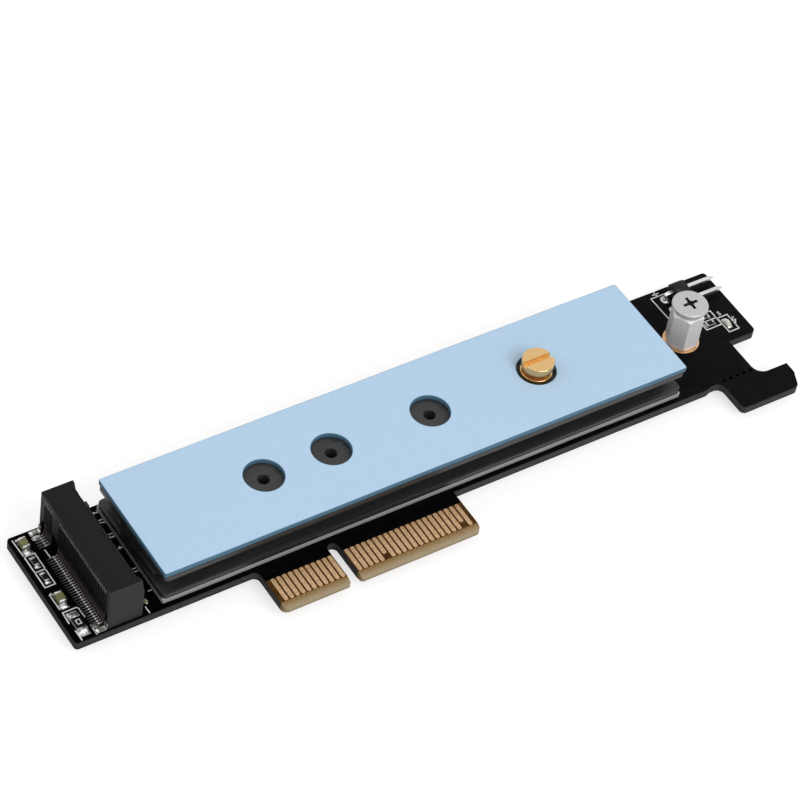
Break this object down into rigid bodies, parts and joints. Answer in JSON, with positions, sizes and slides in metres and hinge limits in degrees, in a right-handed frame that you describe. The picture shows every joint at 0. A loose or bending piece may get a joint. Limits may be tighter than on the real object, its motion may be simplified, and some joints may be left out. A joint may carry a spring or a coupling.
{
  "type": "nvme adapter card",
  "caption": "Card-edge adapter board for a keyed solid-state module, with a raised socket, a heatsink between thermal pads, module screws, a two-pin header and a breakaway hook.",
  "frame": {"origin": "middle of the footprint, level with the lowest point, which is the end of the header's pins under the board", "axes": "+X along the board from the module socket to the header end, +Y from the card edge to the back edge, +Z out of the component side"},
  "size_m": [0.1306, 0.0302, 0.0123],
  "materials": {
    "board_mask": "glossy black solder mask",
    "gold_plating": "polished gold plating",
    "ring_gold": "satin gold plating",
    "housing_black": "satin moulded plastic",
    "spring_metal": "plated spring metal",
    "tin_plating": "bright tin plating and solder",
    "capacitor_olive": "satin ceramic",
    "resistor_black": "satin glass coat",
    "header_plastic": "satin moulded plastic",
    "led_white": "white moulded base",
    "led_clear": "cast clear resin",
    "pad_grey": "matte filled silicone",
    "pad_blue": "matte filled silicone",
    "anodised_black": "black anodised, satin",
    "turned_brass": "turned, bright",
    "turned_steel": "turned, nickel plated"
  },
  "bodies": {
    "root": {"circuit_board": "board_mask", "component_side_contacts": "gold_plating", "solder_side_contacts": "gold_plating", "plated_holes": "ring_gold", "socket_housing": "housing_black", "socket_upper_contacts": "spring_metal", "socket_lower_contacts": "spring_metal", "socket_hold_downs": "tin_plating", "supply_capacitor_bodies": "capacitor_olive", "supply_capacitor_caps": "tin_plating", "supply_resistor_bodies": "resistor_black", "supply_resistor_caps": "tin_plating", "link_resistor_body": "resistor_black", "link_resistor_caps": "tin_plating", "coupling_capacitor_bodies": "capacitor_olive", "coupling_capacitor_caps": "tin_plating", "header_body": "header_plastic", "header_pins": "tin_plating", "led_resistor_bodies": "resistor_black", "led_resistor_caps": "tin_plating", "led_base": "led_white", "led_lens": "led_clear", "led_terminals": "gold_plating", "lower_thermal_pad": "pad_grey", "heatsink": "anodised_black", "upper_thermal_pad": "pad_blue", "shoulder_screw": "turned_brass", "hex_standoff": "turned_steel", "flanged_nut": "turned_brass", "flat_head_screw": "turned_steel"}
  },
  "joints": []
}
